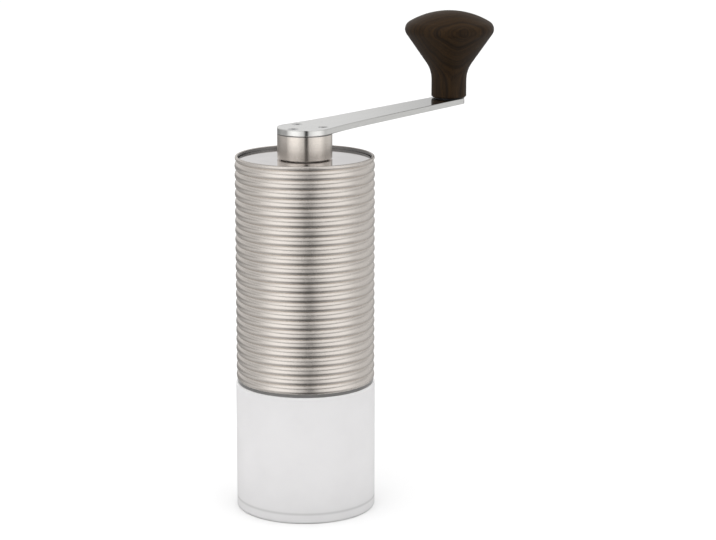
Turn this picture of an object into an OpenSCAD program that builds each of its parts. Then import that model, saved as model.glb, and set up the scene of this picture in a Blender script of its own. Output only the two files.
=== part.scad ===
// Manual coffee grinder: ribbed body on a frosted jar, flat crank arm, turned wooden knob.
// The crank arm points along +X, the grinding axis is Z and the jar stands on z = 0.

/* [Jar] */
// Height of the jar from the table to its shoulder
jar_h = 55.9; // [45:0.1:75]
// How far the jar stands proud of the ribs, on the radius
jar_proud = 0.25; // [0.1:0.05:0.8]
// Thickness of the jar's side wall
jar_wall = 3; // [2.2:0.1:3.6]
// Thickness of the jar's floor
jar_floor = 3.5; // [3:0.1:7]
// Radius of the jar's bottom edge
jar_edge_r = 0.7; // [0.5:0.1:2.4]
// Radius of the jar's shoulder edge
shoulder_edge_r = 0.8; // [0.4:0.1:1.2]
// Radius inside, between the wall and the floor
jar_in_edge_r = 1.5; // [1:0.1:5]
// Height of the jar's threaded neck
neck_h = 7.6; // [6:0.1:9]
// Thickness of the neck
neck_wall = 2.6; // [2:0.1:3.2]
// Room for the thread between the neck and its socket
thread_room = 0.7; // [0.5:0.05:1]
// Thickness of the flat seal between jar and body
seal_t = 1.4; // [1:0.05:2]

/* [Body] */
// Diameter over the crests of the ribs
body_d = 60; // [59:0.5:66]
// Number of ribs
rib_count = 25; // [23:1:32]
// Height of one rib
rib_pitch = 4; // [3.7:0.1:5]
// Depth of the grooves between ribs
rib_depth = 0.8; // [0.5:0.05:1.1]
// Sleeve wall under the grooves
body_wall = 1.4; // [1.1:0.1:1.8]
// How much the foot is cut back from a full lowest rib
foot_cut = 0.4; // [0.2:0.05:0.8]
// How much the rim is cut back from a full top rib
rim_cut = 1.8; // [0.7:0.05:1.8]
// Radius of the rim's outer edge
rim_round = 0.8; // [0.4:0.05:0.9]
// Sleeve wall round the lid, under the top groove
rim_wall = 0.5; // [0.4:0.05:0.8]
// Chamfer on the rim's inner edge
rim_chamfer = 0.3; // [0.2:0.05:0.4]
// Height of the inner lip that carries the stack
lip_h = 2; // [1.5:0.1:3]

/* [Hopper] */
// Wall of the hopper liner and of the rings above and below it
liner_wall = 2; // [1.6:0.1:2.6]
// Number of arms on each bearing carrier
spider_arms = 3; // [3:1:4]
// Width of a carrier's arm
spider_arm_w = 4.5; // [3.5:0.1:6]
// Height of a carrier's arm
spider_arm_h = 6; // [5:0.1:6.5]
// Wall of a carrier's bearing seat
seat_wall = 2.6; // [2:0.1:3.2]
// Lip that stops the bearing in its seat
seat_lip = 1; // [0.8:0.1:1.4]
// Height of the ring that clamps the stack
clamp_h = 6; // [5.4:0.1:8]
// Height of the funnel over the burrs
funnel_h = 12; // [10:0.5:14]
// Wall of the burr housing round the jar's neck
socket_wall = 1.4; // [1.1:0.1:1.6]

/* [Drive] */
// Diameter of the drive shaft
shaft_d = 8; // [7.4:0.1:8.6]
// Width across the two flats that drive the burr
flat_af = 6.6; // [6.2:0.1:7]
// Diameter of the shaft's threaded foot
thread_d = 6; // [5:0.1:6]
// Outer diameter of a bearing
bearing_d = 16; // [15:0.1:17.5]
// Width of a bearing
bearing_w = 5; // [4:0.1:6]
// Number of balls in a bearing
ball_count = 8; // [6:1:9]
// Thickness of a spring clip
clip_t = 0.8; // [0.6:0.1:1]
// Depth of a clip's groove
clip_groove = 0.5; // [0.3:0.05:0.6]
// Width of a clip's ring
clip_w = 1.6; // [1.2:0.1:1.8]
// Wire of the burr spring
spring_wire = 1.2; // [1:0.05:1.3]
// Turns of the burr spring
spring_turns = 4.5; // [3:0.25:4.75]

/* [Burrs] */
// Body diameter that the two burr diameters below are for; they grow and shrink with the body
burr_body_d = 60; // [59:0.5:61]
// Outer diameter of the ring burr
ring_burr_d = 43; // [42.5:0.1:43.4]
// Height of the ring burr
ring_burr_h = 14; // [12:0.1:16]
// Largest diameter of the inner burr
cone_d = 37; // [36:0.1:37.4]
// Height of the inner burr
cone_h = 17; // [16:0.1:19]
// Diameter of the inner burr's top
cone_top_d = 19; // [18.4:0.1:21]
// Height of the fine band at the foot of both burrs
band_h = 6.5; // [5.5:0.1:8]
// Slope of the fine band from upright, in degrees
band_deg = 12.4; // [10:0.1:14]
// Gap between the burrs on the radius, where their feet are level
burr_gap = 0.45; // [0.4:0.01:0.7]
// How far the inner burr hangs below the ring burr at the coarse end
burr_drop = 0.9; // [0.6:0.05:1.1]
// Number of fine teeth on each burr
tooth_count = 36; // [30:1:40]
// Depth of a fine tooth
tooth_depth = 0.9; // [0.6:0.05:1]
// Lean of the fine teeth, in degrees
tooth_lean = 16; // [8:1:22]
// Number of coarse flutes on the inner burr
flute_count = 6; // [5:1:7]
// Depth of a coarse flute
flute_depth = 2.6; // [1.8:0.1:2.8]
// Lean of the coarse flutes, in degrees
flute_lean = 32; // [20:1:36]
// Number of coarse grooves inside the ring burr
groove_count = 9; // [7:1:11]
// Depth of a coarse groove
groove_depth = 1.6; // [1:0.1:2]
// Thickness of the ring that holds the ring burr
retainer_t = 2.5; // [2:0.1:3]
// Shank diameter of a burr screw
burr_screw_d = 2; // [1.8:0.1:2.2]
// Head diameter of a burr screw
burr_screw_head_d = 3.8; // [3.4:0.1:3.9]
// Length of a burr screw
burr_screw_l = 8; // [6:0.1:10]

/* [Adjustment] */
// Diameter of the adjusting dial
dial_d = 28; // [26:0.5:32]
// Height of the adjusting dial
dial_h = 8.8; // [8:0.1:10]
// Number of finger scallops round the dial
scallop_count = 16; // [12:1:20]
// Thickness of the click plate
plate_t = 1.2; // [0.8:0.1:1.6]
// Clicks per turn of the dial
click_count = 12; // [8:1:16]
// Diameter of a click ball
click_ball_d = 2.4; // [2:0.1:2.6]
// Axial travel of the burr and dial, from coarse to fine
dial_travel = 1.5; // [1:0.1:1.8]

/* [Lid] */
// Depth of the lid's face below the rim
lid_recess = 1.4; // [1.2:0.1:2.6]
// Thickness of the lid plate
lid_t = 3; // [2.4:0.1:4]
// Depth of the skirt under the lid
skirt_h = 4.4; // [3.8:0.1:5]
// Wall of the skirt
skirt_wall = 2.7; // [2.4:0.1:3.4]
// Thickness of the round seal on the skirt
lid_seal_d = 1.6; // [1.2:0.1:1.8]
// Wall of the bush in the lid
bush_wall = 1.6; // [1.2:0.1:2]

/* [Crank] */
// Diameter of the hub
hub_d = 23.6; // [22.6:0.1:26]
// Height of the hub
hub_h = 10.7; // [9.6:0.1:14]
// Gap between the lid and the hub, filled by the bush's flange
hub_gap = 0.4; // [0.3:0.05:0.8]
// Chamfer on the hub's edges
hub_edge = 0.2; // [0.2:0.05:0.6]
// Diameter of the boss that turns in the lid
boss_d = 12.6; // [11.6:0.1:13]
// Thickness of the arm plate
arm_t = 2.5; // [2.2:0.1:4]
// Distance between the hub's axis and the knob's axis
crank_len = 112; // [90:1:140]
// Width of the arm, carried back to the hub's axis
arm_root_w = 19.8; // [17:0.1:21]
// Diameter of the arm's round tip
arm_tip_d = 14.6; // [13:0.1:16]
// Radius of the blend between the hub's circle and the arm
arm_blend_r = 300; // [60:10:400]
// Radius of the circle of arm screws
arm_screw_r = 8; // [7.6:0.1:8.4]
// Shank diameter of an arm screw
arm_screw_d = 2.4; // [2:0.1:2.5]
// Head diameter of an arm screw
arm_screw_head_d = 4.2; // [3.6:0.1:4.4]
// Length of an arm screw
arm_screw_l = 8; // [6:0.1:9]
// Diameter of the knob's axle
axle_d = 6; // [5:0.1:6.4]
// Head diameter of the axle, under the arm
axle_head_d = 9; // [8.4:0.1:10]
// Height of the axle's countersunk head
axle_head_h = 1.5; // [1.2:0.1:1.8]

/* [Knob] */
// Height of the knob
knob_h = 40.1; // [36:0.1:46]
// Largest diameter of the knob
knob_d = 41.3; // [38:0.1:46]
// Diameter of the knob's stem
stem_d = 16.3; // [15:0.1:18]
// Height of the straight part of the stem
stem_h = 8; // [5:0.1:10]
// Radius of the hollow between stem and flare
flare_r = 14; // [8:0.5:18]
// Slope of the flare from upright, in degrees
flare_deg = 35; // [30:1:38]
// Radius of the knob's widest edge
knob_edge_r = 4; // [2.5:0.1:4.5]
// Chamfer on the knob's foot
knob_foot_edge = 0.5; // [0.2:0.1:1]
// Gap between the arm and the knob, filled by a washer
knob_gap = 0.5; // [0.4:0.05:1]
// Length of the bush in the knob
knob_bush_l = 20; // [14:0.1:22]
// Wall of the bush in the knob
knob_bush_wall = 1.4; // [1:0.1:1.8]

/* [Fits] */
// Gap between pieces that are pushed together and stay
fit_gap = 0.05; // [0.03:0.01:0.1]
// Gap between pieces that turn or slide in each other
run_gap = 0.06; // [0.04:0.01:0.1]
// Gap between pieces that must never meet
clear_gap = 0.35; // [0.3:0.05:0.5]

/* [Hidden] */
$fn = 96;

// Overlap of a cutting tool past the face that it leaves
eps = 0.5;

// Radii of the body and the jar
crest_r = body_d / 2;
groove_r = crest_r - rib_depth;
bore_r = groove_r - body_wall;
rim_in_r = groove_r - rim_wall;
insert_r = bore_r - fit_gap;
ring_in_r = insert_r - liner_wall;
socket_r = insert_r - socket_wall;
neck_r = socket_r - thread_room;
neck_in_r = neck_r - neck_wall;
jar_r = crest_r + jar_proud;
jar_in_r = jar_r - jar_wall;

// Arc of one rib, through two grooves and the crest between them, and its radius at the foot's cut
rib_r = (rib_pitch * rib_pitch / 4 + rib_depth * rib_depth) / (2 * rib_depth);
rib_axis_r = crest_r - rib_r;
foot_r = rib_axis_r + sqrt(rib_r ^ 2 - (rib_pitch / 2 - foot_cut) ^ 2);

// Heights of the body and of the stack inside it
z_body0 = jar_h + seal_t;
z_rib0 = z_body0 - foot_cut;
z_body1 = z_rib0 + rib_count * rib_pitch - rim_cut;
z_stack0 = z_body0 + lip_h;
neck_clear = 1.5;
z_retainer0 = jar_h + neck_h + neck_clear;
z_burr0 = z_retainer0 + retainer_t;
z_burr1 = z_burr0 + ring_burr_h;
spider_h = bearing_w + 4 * seat_lip;
z_low0 = z_burr1 + funnel_h;
z_low1 = z_low0 + spider_h;
z_lid1 = z_body1 - lid_recess;
z_lid0 = z_lid1 - lid_t;
z_clamp1 = z_lid0 - run_gap;
z_clamp0 = z_clamp1 - clamp_h;
z_up0 = z_clamp0 - spider_h;

// Bearings: the balls take this share of the section between shaft and seat, and the races stop short
// of the pitch circle by the second share of a ball
ball_share = 0.6;
shoulder_share = 0.27;
shaft_r = shaft_d / 2;
bearing_r = bearing_d / 2;
pitch_r = (shaft_r + bearing_r) / 2;
ball_r = ball_share * (bearing_r - shaft_r) / 2;
race_gap = 2 * shoulder_share * ball_r;
cage_t = 0.8;
z_low_bearing = z_low0 + seat_lip;
z_up_bearing = z_clamp0 - seat_lip - bearing_w;
seat_r = bearing_r + fit_gap;
seat_out_r = seat_r + seat_wall;
lip_r = bearing_r - seat_lip;
first_arm_deg = 60;

// Burrs, at rest at the coarse end
burr_grow = (body_d - burr_body_d) / 2;
cone_r = cone_d / 2 + burr_grow;
cone_top_r = cone_top_d / 2;
z_cone0 = z_burr0 - burr_drop;
z_cone1 = z_cone0 + cone_h;
band_rise = band_h + eps;
band_top_r = cone_r - band_rise * tan(band_deg);
cone_deg = atan((band_top_r - cone_top_r) / (cone_h - band_rise));
ring_burr_r = ring_burr_d / 2 + burr_grow;
ring_foot_r = cone_r + burr_gap;
ring_band_r = ring_foot_r - band_h * tan(band_deg);
entry_drop = 0.9;
ring_top_r = ring_band_r - entry_drop;
throat_step = 0.8;
throat_r = ring_top_r + throat_step;
ring_seat_r = ring_burr_r + fit_gap;
retainer_in_r = ring_foot_r + tooth_depth + clear_gap;
retainer_out_r = socket_r - fit_gap;
burr_screw_circle = (ring_seat_r + retainer_out_r) / 2;
burr_screw_count = 3;
tooth_pitch = 2 * PI * cone_r / tooth_count;
// Share of the pitch that a fine or coarse cut takes, how far the foot of a cut leans to one side, and
// how far a cut runs past the band that it is in
tooth_share = 0.72;
flute_share = 0.8;
tooth_skew = 0.3;
cut_past = 1.5;

// Adjustment under the burr
dial_r = dial_d / 2;
plate_step = 2;
plate_r = dial_r - plate_step;
z_plate0 = z_cone0 - plate_t;
z_dial1 = z_plate0 - run_gap;
z_dial0 = z_dial1 - dial_h;
scallop_share = 0.62;
scallop_r = scallop_share * PI * dial_r / scallop_count;
click_outset = 1;
click_r = (shaft_r + plate_r) / 2 + click_outset;
click_ball_r = click_ball_d / 2;
click_hole_share = 0.75;
click_hole_r = click_hole_share * click_ball_r;
click_pocket_h = dial_h / 2;
click_wire = 0.3;
click_turns = 2.25;
click_ball_count = 2;
dial_relief_h = dial_travel + 2 * clear_gap;
thread_r = thread_d / 2;
z_flat0 = z_dial1 - clear_gap;
z_flat1 = z_cone1 + dial_travel + eps;
z_stop1 = z_dial0 - clear_gap;
z_stop0 = z_stop1 - clip_t;
z_shaft0 = z_stop0 - clip_t;

// Burr spring between the burr and a washer under the lower bearing
washer_t = 0.8;
spring_room = 0.7;
spring_r = shaft_r + spring_room + spring_wire / 2;
z_spring1 = z_low_bearing - washer_t;

// Lid and hub
lid_r = rim_in_r - clear_gap;
skirt_r = ring_in_r - clear_gap;
skirt_in_r = skirt_r - skirt_wall;
z_skirt0 = z_lid0 - skirt_h;
lid_seal_ring_r = ring_in_r - run_gap - lid_seal_d / 2;
z_lid_seal = z_skirt0 + skirt_h / 2;
boss_r = boss_d / 2;
bush_in_r = boss_r + run_gap;
bush_r = bush_in_r + bush_wall;
lid_bore_r = bush_r + fit_gap;
bush_flange_w = 2;
bush_flange_r = bush_r + bush_flange_w;
z_hub0 = z_lid1 + hub_gap;
z_hub1 = z_hub0 + hub_h;
z_arm1 = z_hub1 + arm_t;
hub_r = hub_d / 2;
hub_washer_w = 3.4;
hub_washer_r = boss_r + hub_washer_w;
z_hub_washer1 = z_lid0 - run_gap;
z_hub_clip1 = z_hub_washer1 - washer_t;
z_hub_clip0 = z_hub_clip1 - clip_t;
z_boss0 = z_hub_clip0 - clip_t;
// The hexagon on the shaft's top lies inside the round shaft and reaches this share of the way up the hub
hex_ease = 0.1;
hex_af = shaft_d * cos(30) - hex_ease;
z_hex0 = z_clamp0 + eps;
hex_share = 0.4;
z_shaft1 = z_hub0 + hex_share * hub_h;
hex_end_gap = 0.8;
z_socket1 = z_shaft1 + hex_end_gap;

// Arm outline: sides tangent to a root circle and the tip circle, blended into the hub's circle
arm_root_r = arm_root_w / 2;
arm_tip_r = arm_tip_d / 2;
side_sin = (arm_root_r - arm_tip_r) / crank_len;
side_cos = sqrt(1 - side_sin * side_sin);
side_out = [side_sin, side_cos];
side_along = [side_cos, -side_sin];
blend_run = sqrt((hub_r + arm_blend_r) ^ 2 - (arm_root_r + arm_blend_r) ^ 2);
blend_axis = (arm_root_r + arm_blend_r) * side_out + blend_run * side_along;
blend_on_hub = blend_axis * hub_r / (hub_r + arm_blend_r);
blend_on_side = arm_root_r * side_out + blend_run * side_along;
// The blends and the tip bite this far into what they join, so that the curves cross cleanly
blend_bite = 0.01;
tip_on_side = [crank_len, 0] + (arm_tip_r - blend_bite) * side_out;
arm_screw_count = 3;

// Knob outline, measured up from the knob's foot
z_knob0 = z_arm1 + knob_gap;
stem_r = stem_d / 2;
knob_r = knob_d / 2;
flare_end = [stem_r + flare_r * (1 - cos(flare_deg)), stem_h + flare_r * sin(flare_deg)];
flare_out = [cos(flare_deg), -sin(flare_deg)];
edge_axis_r = knob_r - knob_edge_r;
edge_axis_h = (flare_out[0] * edge_axis_r - flare_out * flare_end + knob_edge_r) / sin(flare_deg);
edge_axis = [edge_axis_r, edge_axis_h];
edge_on_flare = edge_axis + knob_edge_r * flare_out;
edge_drop = knob_h - edge_axis_h;
dome_r = (edge_axis_r ^ 2 + edge_drop ^ 2 - knob_edge_r ^ 2) / (2 * (edge_drop - knob_edge_r));
dome_axis_h = knob_h - dome_r;
edge_from_dome = edge_axis - [0, dome_axis_h];
edge_on_dome = [0, dome_axis_h] + edge_from_dome * dome_r / (dome_r - knob_edge_r);

// Axle and bush of the knob
axle_r = axle_d / 2;
axle_head_r = axle_head_d / 2;
axle_washer_inset = 2.2;
axle_washer_r = stem_r - axle_washer_inset;
knob_bush_in_r = axle_r + run_gap;
knob_bush_r = knob_bush_in_r + knob_bush_wall;
knob_bore_r = knob_bush_r + fit_gap;
z_bush1 = z_knob0 + knob_bush_l;
z_axle_clip0 = z_bush1 + run_gap;
z_axle_clip1 = z_axle_clip0 + clip_t;
z_axle1 = z_axle_clip1 + clip_t;
axle_clip_r = knob_bore_r - clear_gap;
knob_bore_h = z_axle1 + clip_t - z_knob0;

// Size of the hexagon sockets, as a share of the shank, and opening of a spring clip
key_share = 0.75;
axle_key_share = 0.6;
clip_gap_deg = 70;

// A plain ring about the axis
module tube(r_in, r_out, z0, z1) {
    rotate_extrude() translate([r_in, z0]) square([r_out - r_in, z1 - z0]);
}

// A plain round bar on the axis
module bar(r, z0, z1) {
    translate([0, 0, z0]) cylinder(r = r, h = z1 - z0);
}

// An open spring clip that sits in a groove with a floor of radius groove_in_r
module c_clip(groove_in_r, r_out, z0) {
    reach = 2 * r_out;
    half_gap = clip_gap_deg / 2;
    translate([0, 0, z0]) linear_extrude(clip_t) difference() {
        circle(r_out);
        circle(groove_in_r + fit_gap);
        polygon([[0, 0], reach * [cos(half_gap), sin(half_gap)], reach * [cos(half_gap), -sin(half_gap)]]);
    }
}

// A countersunk screw along +Z, with its flat head at z = 0 and a hexagon socket in the head
module countersunk_screw(shank_r, head_r, length) {
    head_h = head_r - shank_r;
    difference() {
        union() {
            cylinder(r1 = head_r, r2 = shank_r, h = head_h);
            cylinder(r = shank_r, h = length);
        }
        translate([0, 0, -eps]) cylinder(r = key_share * shank_r, h = head_h + eps, $fn = 6);
    }
}

// The hole that such a screw fits, open below z = 0
module countersunk_hole(shank_r, head_r, length) {
    head_h = head_r - shank_r;
    cylinder(r1 = head_r + fit_gap, r2 = shank_r + fit_gap, h = head_h);
    translate([0, 0, -eps]) cylinder(r = shank_r + fit_gap, h = length + 2 * eps);
}

// Section of the shaft where its two flats drive the burr
module flats_section(gap) {
    intersection() {
        circle(shaft_r + gap);
        square([2 * shaft_d, flat_af + 2 * gap], center = true);
    }
}

// Points of a wound wire: rings of wire_sides points, wire_rings rings to a turn
wire_rings = 8;
wire_sides = 6;

function wire_centre(mean_r, z0, rise, turns, t) =
    [mean_r * cos(360 * turns * t), mean_r * sin(360 * turns * t), z0 + rise * t];

function wire_ring(mean_r, wire, z0, rise, turns, t) =
    let (a = 360 * turns * t,
         climb = atan(rise / (2 * PI * mean_r * turns)),
         outward = [cos(a), sin(a), 0],
         upward = [sin(a) * sin(climb), -cos(a) * sin(climb), cos(climb)])
    [for (j = [0:wire_sides - 1])
        let (b = 360 * j / wire_sides)
        wire_centre(mean_r, z0, rise, turns, t) + wire / 2 * (cos(b) * outward + sin(b) * upward)];

// Least gap between one turn of a wire and the next, measured along its centre line
function wire_gap(mean_r, wire, z0, rise, turns) =
    let (n = round(turns * wire_rings),
         line = [for (k = [0:n]) wire_centre(mean_r, z0, rise, turns, k / n)])
    min([for (k = [0:n], m = [k + wire_rings / 2:n]) norm(line[k] - line[m])]) - wire;

// A coil spring between two heights, wound as one unbroken wire
module coil(mean_r, wire, z0, z1, turns) {
    n = round(turns * wire_rings);
    foot = z0 + wire / 2;
    rise = z1 - z0 - wire;
    points = [for (k = [0:n]) each wire_ring(mean_r, wire, foot, rise, turns, k / n)];
    sides = [for (k = [0:n - 1], j = [0:wire_sides - 1])
        let (j2 = (j + 1) % wire_sides,
             a = k * wire_sides + j,
             b = k * wire_sides + j2,
             c = a + wire_sides,
             d = b + wire_sides)
        each [[a, b, d], [a, d, c]]];
    last = n * wire_sides;
    start_cap = [for (j = [1:wire_sides - 2]) [0, j + 1, j]];
    end_cap = [for (j = [1:wire_sides - 2]) [last, last + j, last + j + 1]];
    polyhedron(points = points, faces = concat(sides, start_cap, end_cap));
}

// Row of slanted V cuts round a cone. skew moves the foot of the V sideways, so the teeth have a steep
// and a shallow flank. inward is 1 for cuts into a cone's outside and -1 for cuts into a ring's inside.
module v_cuts(count, r, z, slope_deg, lean, length, width, depth, inward) {
    skew = tooth_skew * width;
    foot = [-inward * depth, skew];
    edge_a = 2 * [0, -width / 2] - foot;
    edge_b = 2 * [0, width / 2] - foot;
    for (i = [0:count - 1])
        rotate(i * 360 / count) translate([r, 0, z]) rotate([0, -slope_deg, 0]) rotate([lean, 0, 0])
            linear_extrude(length, center = true) polygon([foot, edge_a, edge_b]);
}

module jar() {
    slope = jar_in_r - neck_in_r;
    z_wall0 = jar_floor + jar_in_edge_r;
    z_slope1 = jar_h - jar_wall / 2;
    neck_round = neck_wall / 4;
    color("#e4e4e2") rotate_extrude() difference() {
        union() {
            translate([0, jar_edge_r]) square([jar_r, jar_h - jar_edge_r - shoulder_edge_r]);
            square([jar_r - jar_edge_r, jar_h / 2]);
            translate([jar_r - jar_edge_r, jar_edge_r]) circle(jar_edge_r);
            translate([0, jar_h / 2]) square([jar_r - shoulder_edge_r, jar_h / 2]);
            translate([jar_r - shoulder_edge_r, jar_h - shoulder_edge_r]) circle(shoulder_edge_r);
            translate([0, jar_h - eps]) square([neck_r, neck_h + eps - neck_round]);
            translate([0, jar_h]) square([neck_r - neck_round, neck_h]);
            translate([neck_r - neck_round, jar_h + neck_h - neck_round]) circle(neck_round);
        }
        translate([0, z_wall0]) square([jar_in_r, z_slope1 - slope - z_wall0]);
        translate([0, jar_floor]) square([jar_in_r - jar_in_edge_r, jar_in_edge_r + eps]);
        translate([jar_in_r - jar_in_edge_r, z_wall0]) circle(jar_in_edge_r);
        polygon([[0, z_slope1 - slope], [jar_in_r, z_slope1 - slope], [neck_in_r, z_slope1], [0, z_slope1]]);
        translate([0, z_slope1]) square([neck_in_r, neck_h + jar_wall]);
    }
}

module jar_seal() {
    color("#6e6e6b") tube(socket_r, foot_r - fit_gap, jar_h, z_body0 - run_gap);
}

module body_sleeve() {
    z_top_rib = z_rib0 + (rib_count - 0.5) * rib_pitch;
    round_z = z_body1 - rim_round;
    round_axis_r = rib_axis_r + sqrt((rib_r - rim_round) ^ 2 - (round_z - z_top_rib) ^ 2);
    z_round_end = z_top_rib + (round_z - z_top_rib) * rib_r / (rib_r - rim_round);
    color("#c9c2b8") rotate_extrude() difference() {
        union() {
            translate([bore_r, z_body0]) square([groove_r - bore_r, z_top_rib - z_body0]);
            translate([socket_r, z_body0]) square([groove_r - socket_r, lip_h]);
            translate([bore_r, z_top_rib]) square([round_axis_r - bore_r, z_body1 - z_top_rib]);
            translate([round_axis_r, round_z]) circle(rim_round);
            intersection() {
                union() for (i = [0:rib_count - 1])
                    translate([rib_axis_r, z_rib0 + (i + 0.5) * rib_pitch]) circle(rib_r);
                translate([groove_r - body_wall / 2, z_body0]) square([rib_r, z_round_end - z_body0]);
            }
        }
        translate([bore_r - eps, z_clamp1]) square([rim_in_r - bore_r + eps, z_body1 - z_clamp1 + eps]);
        polygon([[rim_in_r - eps, z_body1 + eps], [rim_in_r + rim_chamfer + eps, z_body1 + eps],
            [rim_in_r - eps, z_body1 - rim_chamfer - eps]]);
    }
}

module burr_housing() {
    color("#4a4a4c") difference() {
        rotate_extrude() polygon([[socket_r, z_stack0], [insert_r, z_stack0], [insert_r, z_low0],
            [ring_in_r, z_low0], [ring_in_r, z_low0 - seat_lip], [throat_r, z_burr1 + throat_step],
            [throat_r, z_burr1], [ring_seat_r, z_burr1], [ring_seat_r, z_burr0], [socket_r, z_burr0]]);
        for (i = [0:burr_screw_count - 1]) rotate(i * 360 / burr_screw_count)
            translate([burr_screw_circle, 0, z_burr0 - eps])
                cylinder(d = burr_screw_d + 2 * fit_gap, h = burr_screw_l - retainer_t + 2 * eps);
    }
}

module ring_burr() {
    width = tooth_share * tooth_pitch;
    upper_h = ring_burr_h - band_h;
    upper_deg = atan(entry_drop / upper_h);
    groove_w = flute_share * 2 * PI * ring_top_r / groove_count / 2;
    color("#8d8f92") difference() {
        rotate_extrude() polygon([[ring_foot_r, z_burr0], [ring_burr_r, z_burr0], [ring_burr_r, z_burr1],
            [ring_top_r, z_burr1], [ring_band_r, z_burr0 + band_h]]);
        v_cuts(tooth_count, ring_foot_r - band_h / 2 * tan(band_deg), z_burr0 + band_h / 2, band_deg,
            -tooth_lean, band_h + cut_past, width, tooth_depth, -1);
        v_cuts(groove_count, (ring_band_r + ring_top_r) / 2, z_burr1 - upper_h / 2 + cut_past / 2, upper_deg,
            -flute_lean, upper_h + 3 * cut_past, groove_w, groove_depth, -1);
    }
}

module burr_retainer() {
    color("#b5b5b3") difference() {
        tube(retainer_in_r, retainer_out_r, z_retainer0, z_burr0);
        for (i = [0:burr_screw_count - 1]) rotate(i * 360 / burr_screw_count)
            translate([burr_screw_circle, 0, z_retainer0])
                countersunk_hole(burr_screw_d / 2, burr_screw_head_d / 2, retainer_t);
    }
}

module burr_screws() {
    color("#9a9a9a") for (i = [0:burr_screw_count - 1]) rotate(i * 360 / burr_screw_count)
        translate([burr_screw_circle, 0, z_retainer0])
            countersunk_screw(burr_screw_d / 2, burr_screw_head_d / 2, burr_screw_l);
}

// A bearing carrier: outer ring, bearing seat and roofed arms between them
module spider(z0, z_seat_lip, z_seat_wall0, z_seat_wall1) {
    arm_r0 = (seat_r + seat_out_r) / 2;
    arm_r1 = (ring_in_r + insert_r) / 2;
    z_arm = z0 + (spider_h - spider_arm_h) / 2;
    half_w = spider_arm_w / 2;
    tube(ring_in_r, insert_r, z0, z0 + spider_h);
    tube(lip_r, seat_out_r, z_seat_lip, z_seat_lip + seat_lip);
    tube(seat_r, seat_out_r, z_seat_wall0, z_seat_wall1);
    for (i = [0:spider_arms - 1]) rotate(first_arm_deg + i * 360 / spider_arms)
        translate([arm_r0, 0, z_arm]) rotate([90, 0, 90]) linear_extrude(arm_r1 - arm_r0)
            polygon([[-half_w, 0], [half_w, 0], [half_w, spider_arm_h - half_w], [0, spider_arm_h],
                [-half_w, spider_arm_h - half_w]]);
}

module lower_spider() {
    z_seat = z_low_bearing;
    color("#4a4a4c") spider(z_low0, z_seat - seat_lip, z_seat, z_seat + bearing_w + seat_lip);
}

module upper_spider() {
    z_seat = z_up_bearing + bearing_w;
    color("#4a4a4c") spider(z_up0, z_seat, z_up_bearing - seat_lip, z_seat);
}

module hopper_liner() {
    color("#58585a") tube(ring_in_r, insert_r, z_low1, z_up0);
}

module clamp_ring() {
    notch_count = 4;
    notch_w = 4;
    notch_h = 2;
    color("#58585a") difference() {
        tube(ring_in_r, insert_r, z_clamp0, z_clamp1);
        for (i = [0:notch_count - 1]) rotate(i * 360 / notch_count)
            translate([ring_in_r - eps, -notch_w / 2, z_clamp1 - notch_h])
                cube([liner_wall + 2 * eps, notch_w, notch_h + eps]);
    }
}

// Bearing pieces, each from its lower face at z0
module outer_race(z0) {
    rotate_extrude() difference() {
        translate([pitch_r + race_gap, z0]) square([bearing_r - pitch_r - race_gap, bearing_w]);
        translate([pitch_r, z0 + bearing_w / 2]) circle(ball_r + run_gap);
    }
}

module inner_race(z0) {
    rotate_extrude() difference() {
        translate([shaft_r, z0]) square([pitch_r - race_gap - shaft_r, bearing_w]);
        translate([pitch_r, z0 + bearing_w / 2]) circle(ball_r + run_gap);
    }
}

module ball_row(z0, r) {
    for (i = [0:ball_count - 1]) rotate(i * 360 / ball_count)
        translate([pitch_r, 0, z0 + bearing_w / 2]) sphere(r);
}

module ball_cage(z0) {
    cage_h = 2 * ball_r + cage_t;
    z_cage = z0 + (bearing_w - cage_h) / 2;
    difference() {
        tube(pitch_r - cage_t / 2, pitch_r + cage_t / 2, z_cage, z_cage + cage_h);
        ball_row(z0, ball_r + run_gap);
    }
}

module lower_outer_race() { color("#a9abad") outer_race(z_low_bearing); }
module lower_inner_race() { color("#a9abad") inner_race(z_low_bearing); }
module lower_balls() { color("#c4c6c8") ball_row(z_low_bearing, ball_r); }
module lower_cage() { color("#b08d4a") ball_cage(z_low_bearing); }
module upper_outer_race() { color("#a9abad") outer_race(z_up_bearing); }
module upper_inner_race() { color("#a9abad") inner_race(z_up_bearing); }
module upper_balls() { color("#c4c6c8") ball_row(z_up_bearing, ball_r); }
module upper_cage() { color("#b08d4a") ball_cage(z_up_bearing); }

module drive_shaft() {
    bar_r = shaft_r - fit_gap / 2;
    groove_in_r = shaft_r - clip_groove;
    low_clip = z_low_bearing + bearing_w;
    up_clip = z_up_bearing - clip_t;
    color("#9fa1a3") difference() {
        union() {
            bar(thread_r, z_shaft0, z_flat0 + eps);
            translate([0, 0, z_flat0]) linear_extrude(z_flat1 - z_flat0) flats_section(-fit_gap / 2);
            bar(bar_r, z_flat1, z_hex0);
            translate([0, 0, z_hex0]) cylinder(r = hex_af / 2 / cos(30), h = z_shaft1 - z_hex0, $fn = 6);
        }
        tube(groove_in_r, shaft_d, low_clip, low_clip + clip_t);
        tube(groove_in_r, shaft_d, up_clip, up_clip + clip_t);
        tube(thread_r - clip_groove, shaft_d, z_stop0, z_stop1);
    }
}

module shaft_clips() {
    clip_in_r = shaft_r - clip_groove;
    color("#77797b") {
        c_clip(clip_in_r, clip_in_r + clip_w, z_low_bearing + bearing_w);
        c_clip(clip_in_r, clip_in_r + clip_w, z_up_bearing - clip_t);
    }
}

module spring_washer() {
    color("#b5b5b3") tube(shaft_r + fit_gap, lip_r - clear_gap, z_spring1, z_low_bearing);
}

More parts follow.
